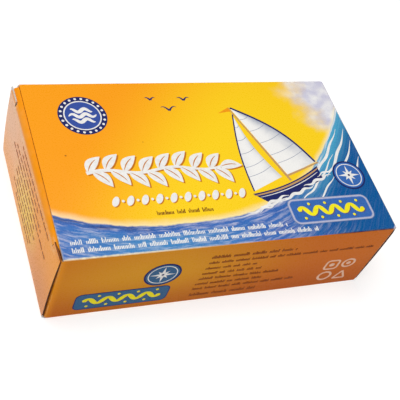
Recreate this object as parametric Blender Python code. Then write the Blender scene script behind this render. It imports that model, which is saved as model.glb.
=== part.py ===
"""A shut folding carton for one flat rectangular food can, lying on its largest panel.

The carton is a printed paperboard sleeve with a tuck closure at each end. It can't be seen
into, so the sleeve, the folded flaps and what they hold are one solid. The two closures are
the same shape: the right one is the left one turned half round about the Y axis, as on a
carton whose ends tuck in opposite ways.

Frame: +X along the length, +Y towards the back, +Z up, origin at the centre of the base.
"""

import math

import bmesh
import bpy
from mathutils import Matrix

# Driving dimensions, in metres
LENGTH = 0.106  # between the hinge creases of the two closures
WIDTH = 0.0625
HEIGHT = 0.030
BOARD = 0.00045  # thickness of the paperboard
CREASE = 0.0005  # outer radius of a folded crease
CUT_SETBACK = 0.00107  # from a closure's face to the raw cut edge that its tab goes under
FLAP_SETBACK = 0.00067  # from a closure's face to the dust flaps behind it
SIDE_GAP = CREASE  # a closure ends where the sleeve's long creases start to turn
SLIT = 0.0062  # length of the slit along the tab's fold, at both corners of a closure
CLOSURE_TOP = 0.0292  # height of the raw corners of a closure
LEAN_FRONT = 0.0004  # how far the front corner of a closure has sunk in at the top
LEAN_BACK = -0.0010  # how far the back corner has sprung out at the top
LEAN_POWER = 0.75  # how the lean grows from the front corner to the back one
BOW = 0.0003  # outward bow of a closure at half its height
SHOULDER = 0.0024  # radius of the fold between a closure and its tab
TAB_CLEARANCE = 0.00005  # between the tab and the panel over it
CORE_DEPTH = 0.003  # how far a closure's solid reaches into the sleeve

# Places that follow from them
TAB_TOP = HEIGHT - BOARD - TAB_CLEARANCE
SHOULDER_START = TAB_TOP - SHOULDER
HINGE_X = -LENGTH / 2
CORE_X = HINGE_X + CORE_DEPTH
EDGE_SHARE = SIDE_GAP / WIDTH
TAB_SHARE = (SIDE_GAP + SLIT) / WIDTH

# How finely the round and the bowed faces are divided
CREASE_STEPS = 3
FACE_STEPS = 8
SHOULDER_STEPS = 4
CORE_STEPS = 4
CORNER_SECTIONS = 3
TAB_SECTIONS = 14

BOARD_COLOUR = (0.93, 0.46, 0.04, 1.0)
BOARD_ROUGHNESS = 0.32


def clear_scene():
    """Removes whatever the scene holds."""
    for obj in list(bpy.data.objects):
        bpy.data.objects.remove(obj, do_unlink=True)


def new_collection(name):
    """A collection of this name, linked to the scene."""
    collection = bpy.data.collections.new(name)
    bpy.context.scene.collection.children.link(collection)
    return collection


def new_object(name, shape, collection):
    """Turns a bmesh into an object of the collection."""
    mesh = bpy.data.meshes.new(name)
    shape.to_mesh(mesh)
    shape.free()
    obj = bpy.data.objects.new(name, mesh)
    collection.objects.link(obj)
    return obj


def mark_helper(obj):
    """Marks a shape that only cuts or joins, so that it isn't a piece of its own."""
    obj.hide_render = True
    obj.display_type = "WIRE"


def printed_board():
    """Varnished orange paperboard."""
    material = bpy.data.materials.new("printed_board")
    material.use_nodes = True
    shader = material.node_tree.nodes["Principled BSDF"]
    shader.inputs["Base Color"].default_value = BOARD_COLOUR
    shader.inputs["Roughness"].default_value = BOARD_ROUGHNESS
    shader.inputs["Metallic"].default_value = 0.0
    return material


def spread(start, end, steps):
    """The values after start, up to and with end, in equal steps."""
    return [start + (end - start) * step / steps for step in range(1, steps + 1)]


def lean_at(share):
    """How far a closure's top edge leans in at this share of the width, from the front."""
    return LEAN_FRONT + (LEAN_BACK - LEAN_FRONT) * share**LEAN_POWER


def face_shift(share, height):
    """How far a closure's outer face stands from its hinge plane: its lean and its bow."""
    rise = height / CLOSURE_TOP
    return lean_at(share) * rise - BOW * math.sin(math.pi * rise)


def outer_path(share):
    """A closure's outer face in XZ, from the base round the crease up to the shoulder."""
    path = [(CORE_X, 0.0), (HINGE_X + CREASE, 0.0)]
    for angle in spread(0.0, math.pi / 2, CREASE_STEPS):
        height = CREASE * (1 - math.cos(angle))
        across = HINGE_X + CREASE * (1 - math.sin(angle))
        path.append((across + face_shift(share, height), height))
    for height in spread(CREASE, SHOULDER_START, FACE_STEPS):
        path.append((HINGE_X + face_shift(share, height), height))
    return path


def shoulder_point(share, angle):
    """A point of the rounded fold, at this angle from where it leaves the upright face."""
    start = HINGE_X + face_shift(share, SHOULDER_START)
    across = start + SHOULDER * (1 - math.cos(angle))
    return across, SHOULDER_START + SHOULDER * math.sin(angle)


def tab_and_core(share):
    """The rest of a section: over the tab's top and down the hidden back."""
    arc = [
        shoulder_point(share, angle)
        for angle in spread(CROSS_ANGLE, math.pi / 2, SHOULDER_STEPS)
    ]
    core = [(CORE_X, height) for height in spread(TAB_TOP + CORE_STEP, CORE_STEP, CORE_STEPS)]
    return arc + core + [(CORE_X, BOARD)]


def slit_section(share):
    """A closure beside its slit: its upright board ends in a raw edge, and behind that is
    the tab's corner, which the slit has cut free."""
    top_x = HINGE_X + face_shift(share, CLOSURE_TOP)
    cross = shoulder_point(share, CROSS_ANGLE)
    head = [(top_x, CLOSURE_TOP), (top_x + BOARD, CLOSURE_TOP), cross]
    return outer_path(share) + head + tab_and_core(share)


def tab_section(share):
    """A closure where it folds over at the shoulder into its tab, which goes inside."""
    head = [shoulder_point(share, angle) for angle in spread(0.0, CROSS_ANGLE, 3)]
    return outer_path(share) + head + tab_and_core(share)


# The fold's angle at which it crosses the back of the upright board
CROSS_ANGLE = math.acos(1 - BOARD / SHOULDER)
# The height of one step up the hidden back of a closure's solid
CORE_STEP = TAB_TOP / (CORE_STEPS + 1)


def closure_sections():
    """The sections of one closure from front to back, as pairs of a share and an outline."""
    front = [EDGE_SHARE] + spread(EDGE_SHARE, TAB_SHARE, CORNER_SECTIONS)
    middle = [TAB_SHARE] + spread(TAB_SHARE, 1 - TAB_SHARE, TAB_SECTIONS)
    back = [1 - TAB_SHARE] + spread(1 - TAB_SHARE, 1 - EDGE_SHARE, CORNER_SECTIONS)
    sections = [(share, slit_section(share)) for share in front]
    sections += [(share, tab_section(share)) for share in middle]
    sections += [(share, slit_section(share)) for share in back]
    return sections


def closure_shape():
    """Lofts a closure between its unlike sections: slit, fold, slit."""
    shape = bmesh.new()
    rings = []
    for share, outline in closure_sections():
        along = (share - 0.5) * WIDTH
        rings.append([shape.verts.new((x, along, z)) for x, z in outline])
    for ring, following in zip(rings, rings[1:]):
        for index in range(len(ring)):
            after = (index + 1) % len(ring)
            shape.faces.new((ring[index], ring[after], following[after], following[index]))
    shape.faces.new(rings[0])
    shape.faces.new(rings[-1])
    bmesh.ops.remove_doubles(shape, verts=shape.verts, dist=1e-7)
    bmesh.ops.triangulate(shape, faces=shape.faces)
    bmesh.ops.recalc_face_normals(shape, faces=shape.faces)
    return shape


def half_turn():
    """The half turn about the Y axis, through mid height, that swaps the two ends."""
    middle = Matrix.Translation((0, 0, HEIGHT / 2))
    return middle @ Matrix.Rotation(math.pi, 4, "Y") @ middle.inverted()


def box_shape(size, centre):
    """An axis-aligned box."""
    shape = bmesh.new()
    bmesh.ops.create_cube(shape, size=1.0)
    bmesh.ops.scale(shape, vec=size, verts=shape.verts)
    bmesh.ops.translate(shape, vec=centre, verts=shape.verts)
    return shape


def sleeve_shape():
    """The sleeve as a block, with its long and its upright edges rounded as creases."""
    length = LENGTH - 2 * FLAP_SETBACK
    shape = box_shape((length, WIDTH, HEIGHT), (0, 0, HEIGHT / 2))
    folded = [
        edge
        for edge in shape.edges
        if abs(edge.verts[0].co.y - edge.verts[1].co.y) < WIDTH / 2
    ]
    bmesh.ops.bevel(
        shape, geom=folded, offset=CREASE, segments=3, profile=0.5, affect="EDGES"
    )
    return shape


def step_shape():
    """What the raw cut edge of the top panel leaves open over the left closure's tab."""
    reach = CUT_SETBACK + CREASE
    size = (reach, WIDTH - 2 * CREASE, 2 * BOARD)
    return box_shape(size, (HINGE_X + CUT_SETBACK - reach / 2, 0, HEIGHT))


def add_boolean(target, operation, collection):
    """Cuts or joins every shape of a collection, with the exact solver."""
    modifier = target.modifiers.new(operation.title(), "BOOLEAN")
    modifier.operation = operation
    modifier.operand_type = "COLLECTION"
    modifier.collection = collection
    modifier.solver = "EXACT"


def add_both_ends(name, make_shape, collection):
    """Puts a shape at the left end and the same one, turned half round, at the right."""
    for end, place in (("left", Matrix.Identity(4)), ("right", half_turn())):
        shape = make_shape()
        bmesh.ops.transform(shape, matrix=place, verts=shape.verts)
        mark_helper(new_object(f"{name}_{end}", shape, collection))


def build_carton():
    """The one piece: the sleeve, cut back at its raw edges and joined to its closures."""
    parts = new_collection("Carton")
    cuts = new_collection("Raw edge cuts")
    closures = new_collection("Closures")
    carton = new_object("carton", sleeve_shape(), parts)
    add_both_ends("step", step_shape, cuts)
    add_both_ends("closure", closure_shape, closures)
    add_boolean(carton, "DIFFERENCE", cuts)
    add_boolean(carton, "UNION", closures)
    carton.data.materials.append(printed_board())


clear_scene()
build_carton()
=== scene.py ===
"""A shut folding carton of a flat food can: its folded board, its print and a plain studio.

The board is one sheet of true thickness, folded as the real one is. Soft fields of the print,
such as the evening sky and the sea, are in the board's own materials. Crisp motifs are thin
slabs of ink on it. Print is laid out in millimetres from each panel's lower left corner, as
the panel is seen from outside.
"""

import math

import bmesh
import bpy
import numpy as np
from bpy.props import FloatProperty, FloatVectorProperty, PointerProperty
from bpy.types import Operator, Panel, PropertyGroup
from mathutils import Matrix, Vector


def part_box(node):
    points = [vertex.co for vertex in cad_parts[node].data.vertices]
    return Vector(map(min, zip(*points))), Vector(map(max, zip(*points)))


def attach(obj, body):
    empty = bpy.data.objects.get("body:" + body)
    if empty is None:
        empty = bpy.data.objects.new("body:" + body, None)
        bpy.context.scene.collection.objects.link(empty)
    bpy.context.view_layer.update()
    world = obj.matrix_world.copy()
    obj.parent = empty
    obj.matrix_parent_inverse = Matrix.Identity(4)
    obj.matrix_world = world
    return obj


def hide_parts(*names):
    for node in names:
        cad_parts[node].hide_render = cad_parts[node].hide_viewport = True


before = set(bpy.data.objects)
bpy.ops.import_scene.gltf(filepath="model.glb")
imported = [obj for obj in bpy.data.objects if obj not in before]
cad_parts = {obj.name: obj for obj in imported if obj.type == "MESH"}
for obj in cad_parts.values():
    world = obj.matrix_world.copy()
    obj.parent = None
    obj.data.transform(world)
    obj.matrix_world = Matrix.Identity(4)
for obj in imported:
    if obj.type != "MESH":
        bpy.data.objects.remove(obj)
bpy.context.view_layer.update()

bl_info = {
    "name": "Flat can carton",
    "version": (1, 0, 0),
    "blender": (4, 5, 0),
    "location": "View3D > Sidebar > Carton",
    "description": "Folds and prints a shut carton for a flat food can, and sets a studio",
    "category": "Object",
}

MM = 0.001
NODE = "carton"
BODY = "root"
LOW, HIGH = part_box(NODE)

# Shares of the form, and lengths in millimetres, that a user has no reason to change
LEAN_POWER = 0.75
CLOSURE_GAP = 0.25  # a closure's face stops this short of the carton's full width
WIDENING = 0.8  # the height in which it gets that wide
TAB_CLEARANCE = 0.05  # between the tab and the panel over it
TAB_SLOPE = 0.02  # how much the tab sinks for each part of its way in
TAB_NARROWING = 0.30  # the share of its width that it loses on its way from the fold
TAB_POWER = 2.2  # and how that share grows
SHOULDER_WAY = 4.0  # about how far it is over the shoulder
GLUE_GAP = 0.03  # between the base and the flap that it is glued to
INK_ROOM = 0.1  # the board lies this far inside the solid, so that the ink stays in its box
INK_STEP = 0.018  # height of one layer of ink
INK_HAIR = 0.0003  # how much higher each shape lies than the one before in its piece
INK_SUNK = 0.01  # how far the ink's underside goes into the board
TOP_SHINE = 0.5  # strength of the varnish's mirroring on the top and the base
END_SHINE = 0.07
SIDE_SHINE = 0.025

# How finely the board is divided, and its rows in millimetres from a crease or an end
CREASE_STEPS = 6
SHOULDER_STEPS = 10
FACE_ROWS = 10
TAB_ROWS = 7
SLIT_ROW = 4  # the tab's corners start at this row of its shoulder, behind the upright board
SUPPORT = 0.2  # a row this near each crease keeps its round shading off the flat panel
END_ROWS = np.array([0.0, 0.35, 1.2])
GLUE_ROWS = np.array([0.0, 4.0, 9.0])
FLAP_ROWS = (0.25, 2.0, 5.0, 9.0, 14.0)
FLAP_TAPER = (0.08, 0.13)  # a dust flap's sides step in by this, and slant by this
WELD = 0.002  # points nearer than this become one
SHARP = 40.0  # the least angle in degrees between two faces at a hard edge

# The studio: half the floor's side and a soft light's side in metres, the camera's sensor
FLOOR = 3.0
SOFTBOX = 0.6
SENSOR = 36.0
WHITE = (1.0, 1.0, 1.0)


def linear(red, green, blue):
    """A colour given in 0 to 255 as on a screen, turned into linear light."""
    share = np.array([red, green, blue]) / 255.0
    return tuple(np.where(share <= 0.04045, share / 12.92, ((share + 0.055) / 1.055) ** 2.4))


def colour_prop(name, description, red, green, blue):
    """A colour that a user may change."""
    return FloatVectorProperty(
        name=name, description=description, subtype="COLOR", size=3, min=0.0, max=1.0,
        default=linear(red, green, blue),
    )


def length_prop(name, description, millimetres):
    """A length that a user may change, given here in millimetres."""
    return FloatProperty(
        name=name, description=description, unit="LENGTH", precision=5,
        default=millimetres * MM,
    )


def angle_prop(name, description, degrees):
    """An angle that a user may change, given here in degrees."""
    return FloatProperty(
        name=name, description=description, subtype="ANGLE", default=math.radians(degrees)
    )


def number_prop(name, description, default):
    """A plain number that a user may change."""
    return FloatProperty(name=name, description=description, default=default)


class CartonSizes(PropertyGroup):
    """Sizes of the folded board."""

    length: length_prop("Length", "Between the hinge creases of the two closures", 106.0)
    width: length_prop("Width", "From the front panel to the back one", (HIGH.y - LOW.y) / MM)
    height: length_prop("Height", "From the base to the top panel", (HIGH.z - LOW.z) / MM)
    board: length_prop("Board", "Thickness of the paperboard", 0.45)
    crease: length_prop("Crease", "Outer radius of a folded crease", 0.5)
    cut_setback: length_prop("Cut setback", "From a closure's face to the raw cut edge", 1.07)
    flap_setback: length_prop("Flap setback", "From a closure's face to the dust flaps", 0.67)
    slit: length_prop("Slit", "Length of the slit beside the tab", 6.2)
    closure_top: length_prop("Closure top", "Height of a closure's raw corners", 29.2)
    lean_front: length_prop("Front lean", "How far the front corner has sunk in", 0.4)
    lean_back: length_prop("Back lean", "How far the back corner has sprung out", -1.0)
    bow: length_prop("Bow", "Outward bow of a closure at half its height", 0.3)
    shoulder: length_prop("Shoulder", "Radius of the fold into the tab", 2.4)
    tab: length_prop("Tab", "How far the tab reaches in under the panel", 11.0)
    flap: length_prop("Dust flap", "Length of a dust flap", 21.0)


class PrintColours(PropertyGroup):
    """Colours of the print and of the bare board, with some that hold painted light and shade."""

    orange: colour_prop("Orange", "Evening sky at the left", 252, 160, 24)
    yellow: colour_prop("Yellow", "Evening sky where it is brightest", 255, 212, 30)
    # The side panels' print oranges, darker than the top's in part as painted shade.
    side_light: colour_prop("Side light", "Lighter part of the side panels", 228, 156, 30)
    side_deep: colour_prop("Side deep", "Deeper part of the side panels", 216, 113, 22)
    # Painted shade: this darker orange is laid over the lower parts of the front, the back and
    # the left closure, and on some cut edges at the left.
    side_foot_shade: colour_prop("Side foot", "Lower part of the side panels", 186, 84, 8)
    # Painted sheen: a pale peach laid over the left closure's upper face as the varnish's
    # reflection. The sides' pale symbols are printed in a mix of it.
    peach_sheen: colour_prop("Rubbed", "Where the left closure's varnish is rubbed", 247, 187, 142)
    cream: colour_prop("Cream", "Glow over the sea", 255, 240, 200)
    cloud: colour_prop("Cloud", "Pale corner of the sky", 205, 203, 222)
    sea: colour_prop("Sea", "Near water", 60, 110, 186)
    far_sea: colour_prop("Far sea", "Water at the right", 4, 88, 152)
    shallow: colour_prop("Shallow", "Light water under the crest", 84, 178, 212)
    navy: colour_prop("Navy", "Darkest blue", 34, 42, 104)
    badge_blue: colour_prop("Badge blue", "Field of the round badge", 58, 84, 164)
    white: colour_prop("White", "White ink", 246, 244, 240)
    shadow: colour_prop("Shadow", "Soft brown edge of the ornaments", 205, 122, 24)
    brown: colour_prop("Brown", "Small print on the sides", 118, 58, 22)
    sign_yellow: colour_prop("Sign yellow", "Yellow ornaments on the plates", 255, 240, 36)
    tan: colour_prop("Tan", "Wood of the boat", 205, 160, 105)
    grey: colour_prop("Grey", "Shaded side of the sails", 158, 165, 182)
    board: colour_prop("Board", "Bare paperboard inside", 226, 220, 208)
    # Cut edges: the near-black brown is painted shade for the dark gaps along them. The orange
    # lies on the left end's rims near the top and the base, and is painted light on those at the
    # back.
    edge: colour_prop("Soaked edge", "Cut edges that the print has soaked", 214, 128, 58)
    cut: colour_prop("Cut edge", "Cut edges of the board, stained by the print", 92, 46, 22)


class StudioSettings(PropertyGroup):
    """Camera, lights and floor."""

    lens: number_prop("Lens", "Focal length in mm", 77.07)
    heading: angle_prop("Heading", "Turn of the camera to the right of straight on", 37.97)
    dip: angle_prop("Dip", "How far the camera looks down", 48.12)
    roll: angle_prop("Roll", "Turn of the camera about its own axis", 26.02)
    place: FloatVectorProperty(
        name="Place", description="Where the camera stands", subtype="TRANSLATION", size=3,
        default=(-0.10898, -0.14419, 0.21230),
    )
    key_power: number_prop("Key", "Power of the light overhead", 7.2)
    side_power: number_prop("Side", "Power of the light at the left", 0.2)
    front_power: number_prop("Front", "Power of the light in front", 0.55)
    sky: number_prop("Sky", "Strength of the light all round", 0.03)
    floor: colour_prop("Floor", "Colour of the floor", 184, 184, 184)
    floor_glow: number_prop("Floor glow", "Light that comes up through the floor", 0.63)


class Carton:
    """The sizes in millimetres, and where a point of each panel lies in the frame: a is the
    way along the panel as it is seen from outside, b the way up it, and lift the way out."""

    def __init__(self, sizes):
        for name in sizes.__annotations__:
            setattr(self, name, getattr(sizes, name) / MM)
        self.flat = self.width / 2 - self.crease
        self.tab_top = self.height - self.board - TAB_CLEARANCE
        self.shoulder_start = self.tab_top - self.shoulder
        self.hinge = -self.length / 2

    def in_frame(self, x, y, z):
        """Puts points in the frame: shrunk by the ink's room on all sides, in metres."""
        x, y, z = np.broadcast_arrays(x, y, z)
        half = np.array([self.length, self.width, self.height]) / 2
        middle = np.array([0.0, 0.0, self.height / 2])
        points = np.stack([x, y, z], axis=-1) - middle
        return (points * (1 - INK_ROOM / half) + middle) * MM

    def face_shift(self, y, z):
        """How far a closure's face stands from its hinge plane: its lean and its bow.

        The lean grows with height and, as a power, from the front corner to the back one."""
        share = np.clip(np.asarray(y) / self.width + 0.5, 0.0, 1.0)
        rise = np.asarray(z) / self.closure_top
        lean = self.lean_front + (self.lean_back - self.lean_front) * share**LEAN_POWER
        return lean * rise - self.bow * np.sin(math.pi * rise)

    def widened(self, z):
        """How much wider a closure is at a height than its hinge crease, which is as wide as
        the flat of the panel: it soon widens to nearly the carton's full width."""
        full = (self.width / 2 - CLOSURE_GAP) / self.flat
        return 1 + (full - 1) * np.clip((np.asarray(z) - self.crease) / WIDENING, 0.0, 1.0)

    def top(self, a, b, lift):
        """On the top panel."""
        return self.in_frame(a - self.length / 2, b - self.width / 2, self.height + lift)

    def front(self, a, b, lift):
        """On the front panel."""
        return self.in_frame(a - self.length / 2, -self.width / 2 - lift, b)

    def back(self, a, b, lift):
        """On the back panel."""
        return self.in_frame(self.length / 2 - a, self.width / 2 + lift, b)

    def base(self, a, b, lift):
        """On the base."""
        return self.in_frame(a - self.length / 2, self.width / 2 - b, 0.0 - lift)

    def left(self, a, b, lift):
        """On the left closure, where its face has shifted."""
        y = self.width / 2 - a
        return self.in_frame(self.hinge + self.face_shift(y, b) - lift, y, b)

    def right(self, a, b, lift):
        """On the right closure, which is the left one turned half round."""
        y = a - self.width / 2
        face = -self.hinge - self.face_shift(y, self.height - b)
        return self.in_frame(face + lift, y, b)


# Finishes


def shaded(colour, share):
    """A colour times a share, or times one share for each of its channels."""
    return tuple(np.multiply(colour, share))


def between(first, second, share):
    """The colour at a share of the way from the first to the second."""
    return tuple(np.multiply(first, 1 - share) + np.multiply(second, share))


def arithmetic(operation):
    """A method that works out a tone with another value, by one step of arithmetic."""
    return lambda tone, other: tone.step(operation, tone, other)


class Tone:
    """A value that a material works out. Plain arithmetic on it adds the nodes for it."""

    __add__ = __radd__ = arithmetic("ADD")
    __sub__ = arithmetic("SUBTRACT")
    __mul__ = __rmul__ = arithmetic("MULTIPLY")
    __truediv__ = arithmetic("DIVIDE")
    __pow__ = arithmetic("POWER")
    least = arithmetic("MINIMUM")  # the lesser of the two
    most = arithmetic("MAXIMUM")  # the greater of the two
    above = arithmetic("GREATER_THAN")  # 1 where it is above the other, and else 0

    def __init__(self, finish, socket):
        self.finish, self.socket = finish, socket

    def step(self, operation, *values):
        """One step of arithmetic."""
        return self.finish.node("ShaderNodeMath", *values, operation=operation)

    def __rsub__(self, other):
        return self.step("SUBTRACT", other, self)

    def __abs__(self):
        return self.step("ABSOLUTE", self)

    def ramp(self, low, high, first, last, **settings):
        """Runs evenly from first at low to last at high, and stays level past them."""
        return self.finish.node("ShaderNodeMapRange", self, low, high, first, last, **settings)

    def fade(self, low, high):
        """Runs smoothly from 0 at low to 1 at high."""
        return self.ramp(low, high, 0.0, 1.0, interpolation_type="SMOOTHSTEP")

    def under(self, *layers):
        """This colour under layers of ink, each given by its colour and its share."""
        colour = self
        for ink, share in layers:
            colour = self.finish.mix(share, colour, ink)
        return colour


class Finish:
    """A material being mixed: a principled shader, and short ways to the nodes that feed it."""

    def __init__(self, name, roughness=0.3):
        self.material = bpy.data.materials.new(name)
        self.material.use_nodes = True
        self.tree = self.material.node_tree
        self.put("Roughness", roughness)

    def feed(self, socket, value):
        """Links a tone to a socket, or sets the socket's own value."""
        if isinstance(value, Tone):
            self.tree.links.new(value.socket, socket)
        elif socket.type == "RGBA":
            socket.default_value = (*value, 1.0)
        else:
            socket.default_value = value

    def put(self, name, value):
        """Feeds one of the shader's inputs."""
        self.feed(self.tree.nodes["Principled BSDF"].inputs[name], value)

    def node(self, kind, *values, output=0, **settings):
        """Adds a node and returns one of its outputs. The values feed its first inputs, and a
        setting feeds the input of its name, if there is one."""
        node = self.tree.nodes.new(kind)
        for name, setting in settings.items():
            if name in node.inputs:
                self.feed(node.inputs[name], setting)
            else:
                setattr(node, name, setting)
        for socket, value in zip(node.inputs, values):
            self.feed(socket, value)
        return Tone(self, node.outputs[output])

    def mix(self, share, first, second, blend_type="MIX"):
        """The first colour at share 0, the second at share 1, or another way to blend."""
        node = self.tree.nodes.new("ShaderNodeMix")
        node.data_type, node.blend_type = "RGBA", blend_type
        for index, value in ((0, share), (6, first), (7, second)):
            self.feed(node.inputs[index], value)
        return Tone(self, node.outputs[2])

    def vector(self, x, y):
        """Two numbers as one flat vector."""
        return self.node("ShaderNodeCombineXYZ", x, y, 0.0)

    def reach(self, x, y, centre, radii):
        """How far a place is from a centre: the length of its two distances from it, each
        divided by a radius."""
        scaled = self.vector((x - centre[0]) / radii[0], (y - centre[1]) / radii[1])
        return self.node("ShaderNodeVectorMath", scaled, operation="LENGTH", output="Value")

    def noise(self, place, scale, detail=2.0, roughness=0.5):
        """Soft random shade between 0 and 1 at a place."""
        return self.node(
            "ShaderNodeTexNoise", Vector=place, Scale=scale, Detail=detail, Roughness=roughness
        )

    def attribute(self, name):
        """A number that the mesh has at each of its points."""
        return self.node("ShaderNodeAttribute", attribute_name=name, output="Fac")

    def millimetres(self, corner=(0.0, 0.0, 0.0)):
        """The object's own coordinates in millimetres from a corner, as a vector and x, y, z."""
        place = self.node(
            "ShaderNodeVectorMath", self.node("ShaderNodeTexCoord", output="Object"),
            (1 / MM, 1 / MM, 1 / MM), tuple(-value for value in corner), operation="MULTIPLY_ADD",
        )
        apart = self.node("ShaderNodeSeparateXYZ", place).socket.node
        return (place, *(Tone(self, output) for output in apart.outputs))

    def bump(self, height, distance, **under):
        """Tilts the surface by a height, over a normal under it, and returns the normal."""
        return self.node("ShaderNodeBump", Height=height, Distance=distance, **under)


def varnish(finish, place, colour, shine=TOP_SHINE):
    """Lays the varnish over a colour: a soft waviness, fine grain and slightly uneven gloss.

    shine is how strongly it mirrors; half is the usual strength of a clear varnish."""
    wave = finish.bump(finish.noise(place, 0.045, 1.0), 0.00035)
    grain = finish.noise(place, 2.2, 3.0, 0.6)
    finish.put("Specular IOR Level", shine)
    finish.put("Normal", finish.bump(grain, 0.0000012, Normal=wave))
    finish.put("Roughness", grain.ramp(0.3, 0.7, 0.24, 0.34))
    finish.put("Base Color", colour)
    return finish.material


def panel_finish(name, carton):
    """A finish with its place in millimetres from the carton's lower left front corner."""
    finish = Finish(name)
    return (finish, *finish.millimetres((-carton.length / 2, -carton.width / 2, 0.0)))


def from_corner(finish, carton):
    """How far a point is from the carton's nearest corner: the sum of its three distances
    from the nearest end, side and face, in millimetres. The upper front corner at the left
    is sound, so it counts as far."""
    _, *places = finish.millimetres((0.0, 0.0, carton.height / 2))
    away, sound = 0.0, 5.0
    sizes = (carton.length, carton.width, carton.height)
    for value, size, side in zip(places, sizes, (-1.0, -1.0, 1.0)):
        away = size / 2 - abs(value) + away
        sound = (value * side).above(0.0) * sound
    return away + sound


def worn_board(finish, carton, place, colour, colours, fold_wear, shine, fray=0.75):
    """Rubs the print thin along the folds, the cut edges and at the corners, where the
    board shows."""
    rub = finish.noise(place, 0.55, 4.0, 0.7)
    along = finish.noise(place, 0.09)
    folded = finish.attribute("fold") * rub.fade(0.30, 0.62) * along.fade(0.36, 0.60) * fold_wear
    frayed = finish.attribute("edge") * rub.fade(0.42, 0.66) * fray
    knock = (from_corner(finish, carton) + rub * 2.0).fade(3.3, 2.3)
    colour = colour.under((colours.cream, folded.most(frayed)), (colours.cloud, knock))
    return varnish(finish, place, colour, shine)


def evening_sea(finish, x, y, colours):
    """The picture's soft fields: a yellow evening sky, a pale cloud, and a sea that dips
    under the branch and swells up at the right.

    The sky turns orange with the length of a place that is slanted, scaled and counted only
    to the left. The cloud is a disc with a billowing rim. The water begins at the sea's edge,
    moved by a ripple, under a pale glow."""
    slanted = (x - y * 0.62).least(40.0)
    glow = finish.reach(slanted, y, (40.0, 21.0), (57.6, 125.0))
    sky = finish.mix(glow.fade(0.12, 0.90), colours.yellow, colours.orange)
    place = finish.vector(x, y)
    cloud = finish.reach(x, y, (114.0, 58.0), (25.0, 25.0)) + finish.noise(place, 0.15, 3.0) * 0.6
    lit = finish.noise(place, 0.17).fade(0.36, 0.72)
    ripple = (finish.noise(place, 0.22, 3.0) - 0.5) * 1.6
    depth = sea_edge(x) - y + ripple
    return sky.under(
        (finish.mix(lit, colours.cloud, colours.white), cloud.fade(1.45, 0.95)),
        (colours.cream, depth.fade(-2.8, 0.3) * 0.68),
        (sea_colour(finish, x, depth, colours), depth.fade(-0.35, 0.35)),
    )


SEA_DIP = 33.0  # how far along the panel the sea's edge is lowest
SEA_LOW = 8.3  # and how high it is there
SEA_LEFT = (3.7e-3, 2.15)  # how fast it rises to the left, and by which power
SEA_RIGHT = (1.62e-4, 2.906)


def sea_edge(x):
    """Height of the sea's edge over the panel's front edge, in millimetres, for an array or
    a tone: a dip, from which it rises as one power of the distance to the left and as another
    to the right. A distance to the wrong side counts as 0."""
    edge = SEA_LOW
    for away, (rise, power) in ((SEA_DIP - x, SEA_LEFT), (x - SEA_DIP, SEA_RIGHT)):
        edge = edge + rise * ((away + abs(away)) / 2) ** power
    return edge


def sea_colour(finish, x, depth, colours):
    """Water that is lighter under its crest, with pale and dark streaks along the swell, a
    dark rim at the left and broken foam at the right."""
    swell = finish.vector(x * 0.13, depth)
    dark = finish.noise(swell, 0.62, 4.0, 0.65).fade(0.46, 0.64)
    pale = finish.noise(swell, 1.05, 5.0, 0.7).fade(0.46, 0.64)
    rim = abs(depth - 0.9).fade(1.5, 0.1) * x.fade(44.0, 14.0)
    foam = abs(depth - 0.5).fade(1.1, 0.1) * x.fade(40.0, 60.0)
    return finish.mix(x.fade(58.0, 92.0), colours.sea, colours.far_sea).under(
        (colours.shallow, depth.fade(15.0, 0.5) * x.fade(70.0, 92.0) * 0.85),
        (colours.badge_blue, dark * x.ramp(66.0, 96.0, 0.5, 0.15)),
        (colours.cloud, pale * x.ramp(62.0, 94.0, 0.62, 0.06)),
        (colours.navy, rim * finish.noise(swell, 1.2, 4.0).fade(0.28, 0.6) * 0.62),
        (colours.shallow, abs(x - 30.0).fade(36.0, 4.0) * depth.fade(1.5, 4.5) * 0.3),
        (colours.white, foam * finish.noise(swell, 0.9, 3.0).fade(0.4, 0.6) * 0.8),
    )


def front_crease(colour, x, away, colours):
    """The crease between the top and the front, away from which a distance is given: worn
    pale at its left, with a painted highlight along it, and dark at its right, where the sea's
    ink folds over and shade is painted along it."""
    on_line = away.fade(0.6, 0.2)
    # Worn board with a painted highlight at the left, and painted shade at the right.
    return colour.under(
        (colours.cream, on_line * x.fade(62.0, 24.0) * 0.6),
        (shaded(colours.navy, 0.35), on_line * x.fade(80.0, 90.0) * 0.9),
    )


def top_print(carton, colours):
    """The top panel: the picture's sky and sea, with two small brown specks."""
    finish, place, x, y, _ = panel_finish("top print", carton)
    colour = evening_sea(finish, x, y, colours).under(*(
        (colours.brown, finish.reach(x, y, centre, (radius, radius)).fade(1.0, 0.4) * share)
        for centre, radius, share in (((9.2, 34.5), 0.4, 0.7), ((33.4, 38.3), 0.3, 0.45))
    ))
    colour = front_crease(colour, x, y, colours)
    wear, fray = x.ramp(8.0, 46.0, 1.1, 0.1), y.ramp(5.0, 14.0, 0.8, 0.0)
    return worn_board(finish, carton, place, colour, colours, wear, TOP_SHINE, fray)


def base_print(carton, colours):
    """The base: the same sky and sea, read from below."""
    finish, place, x, y, _ = panel_finish("base print", carton)
    colour = evening_sea(finish, x, carton.width - y, colours)
    return worn_board(finish, carton, place, colour, colours, 0.6, TOP_SHINE)


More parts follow.
